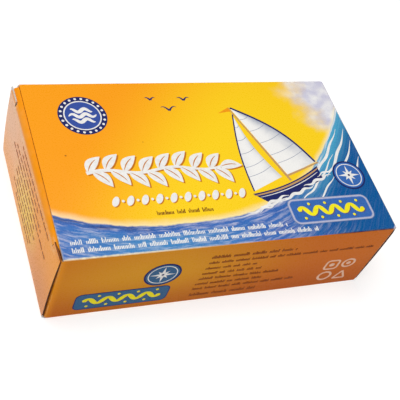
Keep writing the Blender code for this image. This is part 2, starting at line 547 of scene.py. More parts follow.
def side_print(carton, colours):
    """The front and the back: orange that lightens round a spot at the left, and is painted
    darker towards the foot as shade, with a lighter orange painted along the left end as light on
    the fold."""
    finish, place, x, _, z = panel_finish("side print", carton)
    glow = finish.reach(x, z, (30.0, 17.0), (66.0, 40.0)).fade(0.05, 0.85)
    colour = finish.mix(glow, colours.side_light, colours.side_deep).under(
        # Painted shade towards the foot, and a painted lighter orange on the shaded fold at the
        # left end.
        (colours.side_foot_shade, z.fade(20.0, 0.0) * 0.6), (colours.orange, x.fade(3.2, 0.9) * 0.5)
    )
    colour = front_crease(colour, x, carton.height - z, colours)
    wear = x.ramp(8.0, 46.0, 1.1, 0.1)
    return worn_board(finish, carton, place, colour, colours, wear, SIDE_SHINE)


def end_print(carton, colours):
    """The closures, their tabs and the dust flaps: orange, yellower in the middle as a painted
    highlight.
    The left closure has a painted peach sheen over its upper face and painted shade at its lower
    front, and the sea and cloud turn over the right closure's fold."""
    finish, place, x, y, z = panel_finish("end print", carton)
    # The yellower middle of each end is a painted highlight.
    glow = finish.reach(y, z, (carton.width / 2, 12.0), (24.0, 18.0)).fade(0.15, 0.75)
    left = x.fade(0.62, 0.54)
    # Where the painted sheen lies: the left closure's upper face, strongest at the back, below
    # the shoulder.
    upper = z.fade(-6.0, 24.0) * y.fade(10.0, 66.0) * z.fade(28.0, 27.3)
    turned = finish.mix(y.fade(38.0, 46.0), shaded(colours.far_sea, 0.6), colours.cloud)
    colour = finish.mix(glow, colours.yellow, colours.orange).under(
        (shaded(colours.orange, (0.92, 0.87, 0.95)), z.fade(27.0, 28.0)),
        (colours.peach_sheen, upper * left * 1.15),
        # Painted shade: the left closure's lower front is darkened with the foot colour.
        (colours.side_foot_shade, z.fade(26.0, 2.0) * y.fade(36.0, 4.0) * left * 0.48),
        (turned, z.fade(29.3, 29.6) * x.fade(100.0, 104.0)),
    )
    return worn_board(finish, carton, place, colour, colours, 0.5, END_SHINE, 0.3)


def raw_board(carton, colours):
    """Cut edges and the inside: bare board with its fibres. Its cut edges are painted near-black
    brown as shade, orange on the left end's rims near the top and the base, which is painted
    light on those at the back, and pale at the sprung corner, at knocked corners and under the
    top panel."""
    finish = Finish("raw board", 0.8)
    place, x, y, z = finish.millimetres()
    fibre = finish.noise(place, 1.4, 4.0, 0.7)
    inwards = carton.length / 2 - abs(x)
    off_middle = abs(z - carton.height / 2)
    left = x.fade(10.0, -10.0)
    front = off_middle.fade(14.35, 14.5) * inwards.fade(0.9, 1.0) * y.fade(-12.0, -22.0)
    sprung = inwards.fade(0.6, 0.4) * y.fade(23.5, 25.5) * 0.8
    knock = from_corner(finish, carton).fade(2.8, 1.8)
    # Orange rims at the left end near the top and the base: at the back this is painted light in
    # the shaded notch.
    orange_rims = left * off_middle.fade(13.6, 14.0) * off_middle.fade(14.5, 14.35)
    orange_rims = orange_rims * inwards.fade(0.95, 0.85).most(y.fade(5.0, 15.0))
    orange_rims = orange_rims * y.ramp(-24.5, -22.5, 0.3, 1.0) * 0.9
    # The near-black cut colour is painted shade. The foot's painted-shade orange darkens the cut
    # edges at the left next to the top and the base.
    edge_tone = finish.mix(orange_rims, colours.cut, colours.edge).under(
        (colours.side_foot_shade, off_middle.fade(14.4, 14.5) * left),
        (colours.board, front.most(sprung).most(knock)),
    )
    lit = finish.mix(finish.attribute("edge").fade(0.2, 0.8), colours.board, edge_tone)
    shade = fibre.ramp(0.3, 0.7, 0.62, 1.0)
    tone = finish.node("ShaderNodeCombineColor", shade, shade, shade)
    finish.put("Specular IOR Level", 0.1)
    finish.put("Base Color", finish.mix(1.0, lit, tone, "MULTIPLY"))
    finish.put("Normal", finish.bump(fibre, 0.00002))
    return finish.material


def ink_finish(name, colour, shine=TOP_SHINE):
    """Printed ink under the same varnish, slightly mottled."""
    finish = Finish(name)
    place, *_ = finish.millimetres()
    mottle = finish.noise(place, 0.8, 3.0, 0.6).fade(0.25, 0.75)
    return varnish(finish, place, finish.mix(mottle, shaded(colour, 0.86), colour), shine)


def sail_finish(colours):
    """Sailcloth as printed: white that turns grey towards its far edge, with soft creases."""
    finish = Finish("sail print")
    place, *_ = finish.millimetres()
    crease = finish.noise(place, 0.35, 3.0) * 0.35
    share = (finish.attribute("shade") + crease).fade(0.35, 1.15)
    return varnish(finish, place, finish.mix(share, colours.white, colours.grey))


# The folded board

TOP, SIDE, BASE, END, RAW = range(5)
QUARTER = math.pi / 2


def arc(first, last, steps=CREASE_STEPS):
    """Angles from first to last, in equal steps."""
    return np.linspace(first, last, steps + 1)


def across_flat(carton):
    """The places across the width where the flat panels and the closures have their rows."""
    slit = carton.flat - carton.slit
    corner = np.array([carton.flat, carton.flat - SUPPORT, (carton.flat + slit) / 2])
    return np.concatenate([-corner, np.linspace(-slit, slit, 15), corner[::-1]])


def up_side(low, high):
    """The heights where a side panel and its dust flaps have their rows."""
    inner = np.linspace(low + SUPPORT, high - SUPPORT, 8)
    return np.concatenate([[low], inner, [high]])


def girth(carton):
    """The sleeve's outer outline in YZ, from the base's glued edge round to the glue flap.

    Each stretch gives its points, its two ends along the length, its panel and its fold."""
    crease, flat, height = carton.crease, carton.flat, carton.height
    hinge = carton.length / 2 - crease
    cut = carton.length / 2 - carton.cut_setback
    side = carton.length / 2 - carton.flap_setback - crease
    glued = carton.board + GLUE_GAP
    rows = across_flat(carton)
    front = up_side(crease, height - crease)
    back = up_side(glued + crease, height - crease)[::-1]

    def corner(y, z, first, last):
        angles = arc(first, last)
        return y + crease * np.cos(angles), z + crease * np.sin(angles)

    return [
        (rows[::-1], 0 * rows, (-hinge, cut), BASE, 0),
        (*corner(-flat, crease, 3 * QUARTER, 2 * QUARTER), None, (BASE, SIDE), 1),
        (-carton.width / 2 + 0 * front, front, (-side, side), SIDE, 0),
        (*corner(-flat, height - crease, 2 * QUARTER, QUARTER), None, (SIDE, TOP), 1),
        (rows, height + 0 * rows, (-cut, hinge), TOP, 0),
        (*corner(flat, height - crease, QUARTER, 0.0), None, (TOP, SIDE), 1),
        (carton.width / 2 + 0 * back, back, (-side, side), SIDE, 0),
        (*corner(flat, glued + crease, 0.0, -QUARTER), None, (SIDE, BASE), 1),
        (flat - GLUE_ROWS, glued + 0 * GLUE_ROWS, (-side, side), BASE, 0),
    ]


class Sheet:
    """Grids of points that become one surface: each with its panels and its two marks."""

    def __init__(self):
        self.points, self.quads, self.panels, self.folds = [], [], [], []
        self.count = 0

    def add(self, points, fold, panel, flip=False):
        """Adds a grid of rows and columns. The faces look along row step cross column step,
        or the other way if flipped. fold is one number, or one for each row."""
        rows, columns = points.shape[:2]
        index = np.arange(rows * columns).reshape(rows, columns) + self.count
        quads = np.stack(
            [index[:-1, :-1], index[1:, :-1], index[1:, 1:], index[:-1, 1:]], axis=-1
        ).reshape(-1, 4)
        self.quads.append(quads[:, ::-1] if flip else quads)
        self.points.append(points.reshape(-1, 3))
        panel = np.broadcast_to(np.asarray(panel).reshape(-1, 1), (rows - 1, columns - 1))
        self.panels.append(panel.reshape(-1))
        fold = np.broadcast_to(np.asarray(fold, float).reshape(-1, 1), (rows, columns))
        self.folds.append(fold.reshape(-1))
        self.count += rows * columns


def sleeve_grid(carton):
    """The sleeve: its outline in YZ drawn out along X between ends that differ by panel."""
    y, z, ends, panels, folds = [], [], [], [], []
    stretches = girth(carton)
    for number, (ys, zs, reach, panel, folded) in enumerate(stretches):
        steps = len(ys)
        share = np.linspace(0.0, 1.0, steps)[:, None]
        if reach is None:
            before = np.array(stretches[number - 1][2])
            after = np.array(stretches[number + 1][2])
            limits = before + share * (after - before)
            parts = [panel[0]] * (steps // 2) + [panel[1]] * (steps // 2)
        else:
            limits = np.tile(reach, (steps, 1))
            parts = [panel] * (steps - 1)
        skip = 1 if number else 0
        y.append(ys[skip:])
        z.append(zs[skip:])
        ends.append(limits[skip:])
        panels.extend(parts)
        folds.append((folded * np.sin(math.pi * share[:, 0]))[skip:])
    y, z, ends = np.concatenate(y), np.concatenate(z), np.concatenate(ends)
    middle = np.linspace(END_ROWS[-1], carton.length - END_ROWS[-1], 14)[1:-1]
    low, high = ends[:, :1], ends[:, 1:]
    across = low + (high - low) * middle / carton.length
    x = np.concatenate([low + END_ROWS, across, high - END_ROWS[::-1]], axis=1)
    points = carton.in_frame(x, y[:, None], z[:, None])
    return points, np.concatenate(folds), panels


def closure_grids(carton):
    """The left closure: up its face from the base crease, then over the shoulder into the
    tab. At its two corners a slit parts them: the face goes straight up to a raw edge."""
    y = across_flat(carton)[None, :]
    turn = arc(0.0, QUARTER)[:, None]
    crease = carton.crease
    heights = np.concatenate([
        crease * (1 - np.cos(turn)),
        np.linspace(crease, carton.shoulder_start, FACE_ROWS + 1)[1:, None],
    ])
    inset = np.concatenate([crease * (1 - np.sin(turn)), np.zeros((FACE_ROWS, 1))])
    x = carton.hinge + inset + carton.face_shift(y, heights)
    face = carton.in_frame(x, y * carton.widened(heights), heights)
    folds = np.concatenate([np.sin(2 * turn[:, 0]), np.zeros(FACE_ROWS)])

    slit = carton.flat - carton.slit
    grids = [(face, folds), tab_grid(carton, y[:, np.abs(y[0]) <= slit + 0.01], 0)]
    for side in (y[:, y[0] <= -slit + 0.01], y[:, y[0] >= slit - 0.01]):
        rise = np.linspace(carton.shoulder_start, carton.closure_top, 4)[:, None]
        across = side * carton.widened(rise)
        corner = carton.in_frame(carton.hinge + carton.face_shift(side, rise), across, rise)
        grids += [(corner, 0.0), tab_grid(carton, side, SLIT_ROW)]
    return grids


def tab_grid(carton, y, first):
    """A stretch of the left tab from its row first on: a quarter turn of the shoulder, then
    level under the top panel, while it narrows as a power of the way from the fold."""
    turn = arc(0.0, QUARTER, SHOULDER_STEPS)[:, None]
    start = carton.hinge + carton.face_shift(y, carton.shoulder_start)
    over_x = start + carton.shoulder * (1 - np.cos(turn))
    over_z = carton.shoulder_start + carton.shoulder * np.sin(turn) + 0 * y
    depth = np.linspace(0.0, carton.tab, TAB_ROWS + 1)[1:, None]
    x = np.concatenate([over_x, over_x[-1:] + depth])
    z = np.concatenate([over_z, carton.tab_top - TAB_SLOPE * depth + 0 * y])
    reach = np.concatenate([carton.shoulder * turn, carton.shoulder * QUARTER + depth])
    share = np.clip(reach / (carton.tab + SHOULDER_WAY), 0.0, 1.0)
    narrow = 1 - TAB_NARROWING * share**TAB_POWER
    across = y * narrow * (carton.flat - 0.1) / carton.flat
    folds = np.concatenate([0.1 * np.sin(2 * turn[:, 0]), np.zeros(TAB_ROWS)])
    return carton.in_frame(x, across, z)[first:], folds[first:]


def half_turn(carton, points):
    """Turns points half round about the Y axis through mid height."""
    turned = points * np.array([-1.0, 1.0, -1.0])
    turned[..., 2] += carton.height * MM
    return turned


def dust_flap_grid(carton, end, side, heights):
    """A dust flap: round the side panel's crease and in behind the closure, tapering."""
    turn = arc(0.0, QUARTER)
    run = np.array([*FLAP_ROWS, carton.flap])
    start = carton.length / 2 - carton.flap_setback - carton.crease
    x = start + carton.crease * np.concatenate([np.sin(turn), np.ones(len(run))])
    inset = np.concatenate([carton.crease * (1 - np.cos(turn)), carton.crease + run])
    y = carton.width / 2 - inset
    step, slant = FLAP_TAPER
    taper = np.concatenate([np.zeros(len(turn)), step + slant * run])[:, None]
    middle = (heights[0] + heights[-1]) / 2
    half = abs(heights[-1] - heights[0]) / 2
    z = middle + (heights - middle)[None, :] * (half - taper) / half
    folds = np.concatenate([0.2 * np.sin(2 * turn), np.zeros(len(run))])
    return carton.in_frame(end * x[:, None], side * y[:, None], z), folds


def folded_sheet(carton):
    """Every panel of the carton's one sheet, folded."""
    sheet = Sheet()
    points, folds, panels = sleeve_grid(carton)
    sheet.add(points, folds, panels, flip=True)
    for points, fold in closure_grids(carton):
        sheet.add(points, fold, END)
        sheet.add(half_turn(carton, points), fold, END)
    crease = carton.crease
    front = up_side(crease, carton.height - crease)
    back = up_side(carton.board + GLUE_GAP + crease, carton.height - crease)
    for end in (-1, 1):
        for side, heights in ((-1, front), (1, back)):
            points, fold = dust_flap_grid(carton, end, side, heights)
            panels = [SIDE] * CREASE_STEPS + [END] * (len(points) - 1 - CREASE_STEPS)
            sheet.add(points, fold, panels, flip=end * side > 0)
    return sheet


def add_object(name, data):
    """Puts a mesh, a light or a camera into the scene."""
    obj = bpy.data.objects.new(name, data)
    bpy.context.scene.collection.objects.link(obj)
    return obj


def mark_points(mesh, name, values):
    """Gives each point of a mesh a number under a name."""
    mark = mesh.attributes.new(name, "FLOAT", "POINT")
    mark.data.foreach_set("value", np.asarray(values, np.float32))


def with_bmesh(mesh, work):
    """Does some work on a mesh in Blender's editing form."""
    shape = bmesh.new()
    shape.from_mesh(mesh)
    work(shape)
    shape.to_mesh(mesh)
    shape.free()


def mark_edges(mesh):
    """Marks the points of edges that only one face uses with 1 under "edge", the rest with
    0."""
    used = np.empty(len(mesh.loops), np.int32)
    mesh.loops.foreach_get("edge_index", used)
    ends = np.empty(2 * len(mesh.edges), np.int32)
    mesh.edges.foreach_get("vertices", ends)
    alone = np.bincount(used, minlength=len(mesh.edges)) == 1
    mark = np.zeros(len(mesh.vertices))
    mark[ends.reshape(-1, 2)[alone].ravel()] = 1.0
    mark_points(mesh, "edge", mark)


def board_piece(carton, colours):
    """Makes the folded sheet a mesh, joins its panels and gives it the board's thickness."""
    sheet = folded_sheet(carton)
    mesh = bpy.data.meshes.new("folded_board")
    mesh.from_pydata(np.concatenate(sheet.points), [], np.concatenate(sheet.quads).tolist())
    mesh.polygons.foreach_set("material_index", np.concatenate(sheet.panels).astype(np.int32))
    mark_points(mesh, "fold", np.concatenate(sheet.folds))
    with_bmesh(mesh, lambda shape: bmesh.ops.remove_doubles(
        shape, verts=shape.verts, dist=WELD * MM))
    mark_edges(mesh)
    for material in (top_print, side_print, base_print, end_print, raw_board):
        mesh.materials.append(material(carton, colours))
    piece = add_object("folded_board", mesh)
    solid = piece.modifiers.new("Board", "SOLIDIFY")
    solid.thickness = carton.board * MM
    solid.offset = -1.0
    solid.use_even_offset = True
    solid.material_offset = RAW
    solid.material_offset_rim = RAW
    bpy.context.view_layer.update()
    graph = bpy.context.evaluated_depsgraph_get()
    piece.data = bpy.data.meshes.new_from_object(piece.evaluated_get(graph))
    piece.data.name = "folded_board"
    piece.modifiers.clear()
    piece.data.shade_smooth()
    piece.data.set_sharp_from_angle(angle=math.radians(SHARP))
    bpy.data.meshes.remove(mesh)
    return piece


# Ink


def tube_faces(index, closed=False):
    """Quads between neighbouring rows of a grid of point numbers, each row running round in
    a ring. closed joins the last row to the first as well."""
    this, following = (index, np.roll(index, -1, 0)) if closed else (index[:-1], index[1:])
    quads = [this, np.roll(this, -1, 1), np.roll(following, -1, 1), following]
    return np.stack(quads, axis=-1).reshape(-1, 4)


class Ink:
    """Thin closed slabs of ink for one piece, laid on a panel by its place function. Each
    shape belongs to a part of the piece, which has an ink of its own."""

    def __init__(self, name, place, layer=1):
        self.name, self.place, self.layer = name, place, layer
        self.points, self.faces, self.parts, self.shades = [], [], [], []
        self.count = 0
        self.move()

    def move(self, shift=(0.0, 0.0), angle=0.0):
        """What is drawn from here on is turned to the left by an angle, then moved by a shift."""
        cos, sin = math.cos(angle), math.sin(angle)
        self.turn, self.shift = np.array([[cos, sin], [-sin, cos]]), shift

    def both(self, points):
        """The points at the next slab's underside, which is sunk a little, and at its top,
        which lies a hair over that of the slab before."""
        points = points @ self.turn + self.shift
        lifts = (-INK_SUNK, INK_STEP * self.layer + INK_HAIR * len(self.points))
        return [self.place(points[..., 0], points[..., 1], lift) for lift in lifts]

    def keep(self, points, faces, part, shade=0.0):
        """Adds a closed shape: its points in the frame, arrays of its faces and its part."""
        points = points.reshape(-1, 3)
        self.points.append(points)
        self.shades.append(np.broadcast_to(shade, len(points)))
        for block in faces:
            self.faces += (block + self.count).tolist()
            self.parts += [part] * len(block)
        self.count += len(points)

    def ring(self, one, other):
        """The cross sections of a slab between two lines of points."""
        (low, high), (other_low, other_high) = self.both(one), self.both(other)
        return np.stack([low, other_low, other_high, high], axis=1)

    def stroke(self, middle, half, part="print"):
        """A brush stroke: a middle line with a half width at each of its points."""
        middle = np.asarray(middle, float)
        ahead = np.gradient(middle, axis=0)
        ahead /= np.maximum(np.linalg.norm(ahead, axis=1, keepdims=True), 1e-9)
        half = np.broadcast_to(half, len(middle))[:, None]
        aside = np.stack([-ahead[:, 1], ahead[:, 0]], axis=1) * half
        index = np.arange(4 * len(middle)).reshape(-1, 4)
        faces = [tube_faces(index), np.stack([index[0, ::-1], index[-1]])]
        self.keep(self.ring(middle + aside, middle - aside), faces, part)

    def patch(self, outline, centre, part="print"):
        """A filled outline, all of which can be seen from its centre."""
        count = len(outline)
        this, over = np.arange(count), count + 1
        following, hub = np.roll(this, -1), np.full(count, count)
        self.keep(np.concatenate(self.both(np.vstack([outline, [centre]]))), [
            np.stack([hub, following, this], 1),
            np.stack([this, following, hub], 1) + over,
            np.stack([this, following, following + over, this + over], 1),
        ], part)

    def disc(self, centre, radius, part="print", steps=24):
        """A round spot."""
        self.patch(circle(centre, radius, steps), centre, part)

    def hoop(self, centre, outer, inner, part="print", steps=64):
        """A ring between two radii."""
        ring = self.ring(circle(centre, outer, steps), circle(centre, inner, steps))
        index = np.arange(4 * steps).reshape(steps, 4)
        self.keep(ring, [tube_faces(index, closed=True)], part)

    def cloth(self, left, right, part, shade):
        """A field between two edge lines, with a shade for each point across it."""
        rows, columns = len(left), shade.shape[1]
        across = np.linspace(0.0, 1.0, columns)[None, :, None]
        grid = left[:, None, :] + (right - left)[:, None, :] * across
        over = rows * columns
        index = np.arange(over).reshape(rows, columns)
        cells = np.stack([index[:-1, :-1], index[:-1, 1:], index[1:, 1:], index[1:, :-1]], -1)
        cells = cells.reshape(-1, 4)
        rim = np.concatenate([index[0, :-1], index[:-1, -1], index[-1, :0:-1], index[:0:-1, 0]])
        after = np.roll(rim, -1)
        wall = np.stack([rim, after, after + over, rim + over], 1)
        points = np.concatenate(self.both(grid.reshape(-1, 2)))
        shade = np.broadcast_to(shade, (rows, columns))
        self.keep(points, [cells[:, ::-1], cells + over, wall], part, np.tile(shade.ravel(), 2))

    def ticks(self, a, b, wide, tall, part="print"):
        """Many upright bars at once: arrays of their centres, widths and heights."""
        corner_a = a[:, None] + wide[:, None] * np.array([-0.5, 0.5, 0.5, -0.5])
        corner_b = b[:, None] + tall[:, None] * np.array([-0.5, -0.5, 0.5, 0.5])
        corners = np.arange(8).reshape(2, 4)
        box = np.concatenate([[corners[0, ::-1], corners[1]], tube_faces(corners)])
        boxes = (8 * np.arange(len(a))[:, None, None] + box).reshape(-1, 4)
        self.keep(np.stack(self.both(np.stack([corner_a, corner_b], -1)), axis=1), [boxes], part)

    def piece(self, inks, shine=TOP_SHINE):
        """Makes the ink one object and says what it rides on. inks has the colour of each
        part, or its finish where it has one of its own."""
        mesh = bpy.data.meshes.new(self.name)
        mesh.from_pydata(np.concatenate(self.points), [], self.faces)
        order = list(inks)
        mesh.polygons.foreach_set("material_index", [order.index(part) for part in self.parts])
        mark_points(mesh, "shade", np.concatenate(self.shades))
        with_bmesh(mesh, lambda shape: bmesh.ops.recalc_face_normals(shape, faces=shape.faces))
        for part, ink in inks.items():
            if not isinstance(ink, bpy.types.Material):
                ink = ink_finish(f"{self.name} {part} ink", ink, shine)
            mesh.materials.append(ink)
        declare(add_object(self.name, mesh))


def pieces(carton, names, layer=1):
    """The ink of each piece, laid on the panel that its name begins with."""
    return [Ink(name, getattr(carton, name.split("_")[0]), layer) for name in names]


def declare(piece):
    """Every piece rides on the carton's one body, has its finish and stands for its solid."""
    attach(piece, BODY)
    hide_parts(NODE)


# Motifs


def around(centre, radius, angle):
    """Points at angles round a centre, at a radius or at one radius for each."""
    return np.stack([centre[0] + radius * np.cos(angle), centre[1] + radius * np.sin(angle)], 1)


def circle(centre, radius, steps):
    """Points round a circle."""
    return around(centre, radius, np.linspace(0.0, 2 * math.pi, steps, endpoint=False))


def rounded_plate(low, high, radius, steps=6):
    """The outline of a rectangle with round corners: a quarter turn at each."""
    sides = ((high[0] - radius, low[0] + radius), (high[1] - radius, low[1] + radius))
    turns = np.linspace(0.0, math.pi / 2, steps)
    return np.concatenate([
        around((sides[0][a], sides[1][b]), radius, turns + number * math.pi / 2)
        for number, (a, b) in enumerate(((0, 0), (1, 0), (1, 1), (0, 1)))
    ])


def tapered(count, widest, thinnest=0.04, power=0.8):
    """Half widths that swell to the middle of a stroke and thin out to both ends: a power of
    the sine of the way along it."""
    share = np.linspace(0.0, 1.0, count)
    return thinnest + (widest - thinnest) * np.sin(math.pi * share) ** power


def waving_stroke(ink, first, last, heights, half, part):
    """A stroke from first to last whose height is a function of the way along the panel."""
    a = np.linspace(first, last, len(half))
    ink.stroke(np.stack([a, heights(a)], 1), half, part)


def leaf(root, heading, length, widest):
    """The outline of a pointed leaf and its middle, from its root along its heading. Its bend
    and its half width go as the sine of the way along it."""
    share = np.linspace(0.0, 1.0, 14)
    half = widest * np.sin(math.pi * share**0.85) ** 0.9
    along = np.array([math.cos(heading), math.sin(heading)])
    aside = np.array([-along[1], along[0]])
    bend = 0.10 * length * np.sin(math.pi * share)[:, None] * aside
    middle = root + length * share[:, None] * along + bend
    one, other = middle + half[:, None] * aside, middle - half[:, None] * aside
    return np.concatenate([one, other[-2:0:-1]]), middle


def leafy_branch(ink, start, length, height, pairs, part, rib=None):
    """A lying branch: a waving stem with a leaf up and a leaf down at each node, and one
    leaf at its tip."""
    share = np.linspace(0.0, 1.0, 60)
    sway = 0.06 * height * np.sin(share * math.pi * pairs * 0.5)
    stem = np.stack([start[0] + length * share, start[1] + sway], 1)
    ink.stroke(stem, np.linspace(0.030, 0.048, 60)[::-1] * height, part)
    nodes = np.linspace(0.01, 0.90, pairs)
    for node, side in [(node, side) for node in nodes for side in (1, -1)] + [(0.985, 0)]:
        shift = 0.035 * (side < 0)
        root = np.array([np.interp(node + shift, share, stem[:, k]) for k in (0, 1)])
        outline, middle = leaf(root, side * math.radians(50.0), 0.60 * height, 0.142 * height)
        ink.patch(outline, middle[6], part)
        if rib:
            ink.stroke(middle[1:-3], tapered(10, 0.014 * height, 0.004 * height), rib)


def bead_row(ink, start, pitch, count, size, part):
    """A row of slanted beads with a small dot between each two."""
    angle = np.linspace(0.0, 2 * math.pi, 20, endpoint=False)
    bead = np.stack([size * (0.62 * np.cos(angle) + 0.35 * np.sin(angle)),
                     size * np.sin(angle)], 1)
    for step in range(count):
        centre = np.array([start[0] + pitch * step, start[1]])
        ink.patch(bead + centre, centre, part)
        if step < count - 1:
            ink.disc(centre + [pitch / 2, 0.0], 0.26 * size, part, 14)


def small_print(ink, start, end, base, height, seed):
    """A line of plain ticks in runs, of the size and grey of small print, saying nothing."""
    draw = np.random.default_rng(seed)
    pitch = 0.30 * height
    count = int((end - start) / pitch)
    place = start + pitch * (np.arange(count) + 0.5)
    keep = np.ones(count, bool)
    at = 0
    while at < count:
        at += int(draw.integers(5, 15))
        keep[at:at + 2] = False
        at += 2
    tall = height * draw.choice([0.62, 0.66, 1.0], size=count, p=[0.4, 0.3, 0.3])
    wide = pitch * draw.uniform(0.45, 0.78, size=count)
    ink.ticks(place[keep], (base + tall / 2)[keep], wide[keep], tall[keep])


def compass_badge(ink, centre, radius):
    """A round blue badge with an eight-pointed compass star: four long points over four
    short ones."""
    ink.disc(centre, radius, "rim", 64)
    ink.disc(centre, 0.90 * radius, "field", 64)
    ink.hoop(centre, 0.80 * radius, 0.745 * radius, "star")
    eighths = np.arange(8)
    for far, turn in ((0.44, math.pi / 4), (0.70, 0.0)):
        reach = radius * np.where(eighths % 2 == 0, far, 0.15)
        ink.patch(around(centre, reach, eighths * math.pi / 4 + turn), centre, "star")
    ink.disc(centre, 0.075 * radius, "rim", 16)


def sign_plate(ink, low, high, edges):
    """A plate with round corners and an edge of another shade, with a thick waving line
    between two rows of dots."""
    low, high = np.array(low), np.array(high)
    for part, reach in (*edges, ("field", 0.0)):
        ink.patch(rounded_plate(low - reach, high + reach, 1.6 + reach), (low + high) / 2, part)
    wide, tall = high - low
    waves, first, last = 4, 0.08, 0.92
    angle = np.linspace(0.0, 2 * math.pi * waves, 73)
    line = np.stack([np.linspace(first, last, 73), 0.5 + 0.18 * np.sin(angle)], 1) * (wide, tall)
    half = tall * (0.06 + 0.045 * np.abs(np.cos(angle)))
    half[[0, -1]] = 0.02 * tall
    for part, shift in (("shade", np.array([0.26, -0.26])), ("gold", np.zeros(2))):
        ink.stroke(low + shift + line, half, part)
        for step in range(waves):
            for share, rise in ((0.25, 0.17), (0.75, 0.83)):
                at = first + (last - first) * (step + share) / waves
                ink.disc(low + shift + (at * wide, rise * tall), 0.062 * tall, part, 14)


# Foam on the swell: from and to where along the panel, how far under the sea's edge, and the
# greatest half width. Then foam round the hull: from and to, how high, and the same
SWELL_FOAM = (
    (58.0, 73.0, 0.3, 0.40), (70.0, 90.0, 1.4, 0.50), (84.0, 101.5, 2.6, 0.46),
    (76.0, 96.0, 5.4, 0.36), (90.0, 104.5, 7.8, 0.50), (94.0, 105.0, 13.5, 0.36),
    (97.0, 105.0, 20.5, 0.42), (82.0, 93.0, 10.0, 0.28),
)
HULL_FOAM = (
    (-15.5, -4.0, 0.4, 0.50), (-8.0, 6.5, -0.5, 0.55), (3.0, 15.0, 0.5, 0.50),
    (-17.0, -9.5, -0.6, 0.28), (10.0, 18.0, 1.9, 0.30),
)


def draw_gulls(ink):
    """Three gulls: two wings each, that rise as a part of a sine."""
    share = np.linspace(0.0, 1.0, 10)
    for a, b, wide in ((45.5, 50.5, 2.6), (51.5, 54.6, 2.1), (40.4, 55.0, 1.7)):
        for side in (-1, 1):
            wing = [a + side * wide * share, b + wide * (0.62 * np.sin(2.2 * share))]
            ink.stroke(np.stack(wing, 1), 0.30 * (1 - share) + 0.05, "hull")


def draw_boat(ink):
    """A sloop, drawn upright about the foot of its hull: two sails with seams and dark trims,
    mast, boom, pennant and a hull with two stripes. A sail's edge is a straight line plus the
    sine of the way up it."""
    rise = np.linspace(0.0, 1.0, 18)[:, None]
    belly = np.sin(math.pi * rise)
    mast_foot, mast_head = np.array([0.6, 4.2]), np.array([0.6, 36.5])
    luff = mast_foot + [0.5, 1.9] + (mast_head - mast_foot - [0.0, 2.4]) * rise
    leech = np.array([13.6, 6.6]) + (mast_head - [13.0, 7.0]) * rise + belly * [3.0, 0.4]
    stay = np.array([-13.4, 6.0]) + (mast_head - [-13.0, 9.0]) * rise + belly * [-1.2, 0.3]
    inner = np.array([-1.2, 6.6]) + np.array([1.3, 27.2]) * rise + belly * [-1.5, 0.0]
    across = np.linspace(0.0, 1.0, 9)[None, :]
    ink.cloth(luff, leech, "sail", across**1.2 * (0.55 + 0.45 * rise))
    ink.cloth(stay, inner, "sail", (1 - across) * 0.35 + 0.6 * across**4)
    for share in (0.16, 0.32, 0.48, 0.64, 0.80):
        row = round(share * 17)
        for first, last in ((luff, leech), (stay, inner)):
            seam = np.linspace(first[row], last[row], 9)
            seam[:, 1] -= 0.5 * np.sin(math.pi * across[0])
            ink.stroke(seam, 0.09, "seam")
    ink.stroke(leech, 0.36, "hull")
    ink.stroke(stay, 0.22, "hull")
    ink.stroke(np.linspace(mast_foot, mast_head, 8), np.linspace(0.42, 0.22, 8), "spar")
    ink.stroke(np.linspace([0.6, 6.2], [14.4, 6.0], 8), np.linspace(0.36, 0.24, 8), "spar")
    pennant = [mast_head, mast_head + [-4.6, -0.7], mast_head + [0.0, -1.7]]
    ink.patch(pennant, mast_head + [-1.4, -0.8], "pennant")

    length = np.linspace(-14.5, 12.8, 20)
    deck = np.stack([length, 3.7 + 1.6 * (length / 14.0) ** 2], 1)
    keel = np.stack([length[::-1] * 0.84 + 0.6, 0.5 - 0.9 * np.cos(length[::-1] * 0.1)], 1)
    ink.patch(np.concatenate([deck, keel]), [0.0, 2.0], "hull")
    ink.stroke(deck - [0.0, 0.75], tapered(20, 0.30, 0.1, 0.4), "spar")
    ink.stroke(deck[1:-1] - [0.0, 1.7], tapered(18, 0.14, 0.05, 0.4), "foam")
    for first, last, low, widest in HULL_FOAM:
        waving_stroke(ink, first, last, lambda a: low + 0.35 * np.sin(1.3 * a + first),
                      tapered(22, widest, 0.05, 1.1), "foam")


# Operators. A line of small print is given by its start, its end, its foot and its height

SIDE_LINES = (
    (45.2, 73.5, 23.3, 1.55), (45.2, 102.0, 20.5, 1.25), (45.0, 62.0, 17.6, 1.25),
    (44.8, 64.6, 14.8, 1.25), (44.6, 72.0, 12.0, 1.25), (44.3, 67.0, 9.2, 1.25),
    (44.2, 78.7, 6.5, 1.25), (44.2, 66.9, 3.0, 1.55),
)
END_LINES = (
    (20.0, 53.0, 24.8, 0.95), (21.0, 42.0, 22.4, 0.9), (15.0, 47.0, 20.0, 0.9),
    (12.0, 54.0, 17.4, 0.95), (19.0, 42.0, 14.8, 0.9), (18.0, 44.0, 12.2, 0.9),
    (20.0, 41.0, 9.6, 0.9), (17.0, 42.0, 7.0, 0.9), (21.0, 40.0, 4.6, 0.9),
)
TOP_LINES = ((30.3, 48.1, 11.8, 1.45),)
SEA_LINES = ((3.8, 69.5, 4.4, 1.6), (3.8, 78.8, 1.9, 1.6))
BASE_LINES = (
    (66.0, 98.0, 52.0, 1.5), (66.0, 96.0, 49.0, 1.2), (66.0, 99.0, 46.4, 1.2),
    (66.0, 90.0, 43.8, 1.2), (66.0, 97.0, 41.2, 1.2), (66.0, 84.0, 38.6, 1.2),
)


def tools(context):
    """The carton and its colours, as the scene's settings give them."""
    return Carton(context.scene.carton_sizes), context.scene.print_colours


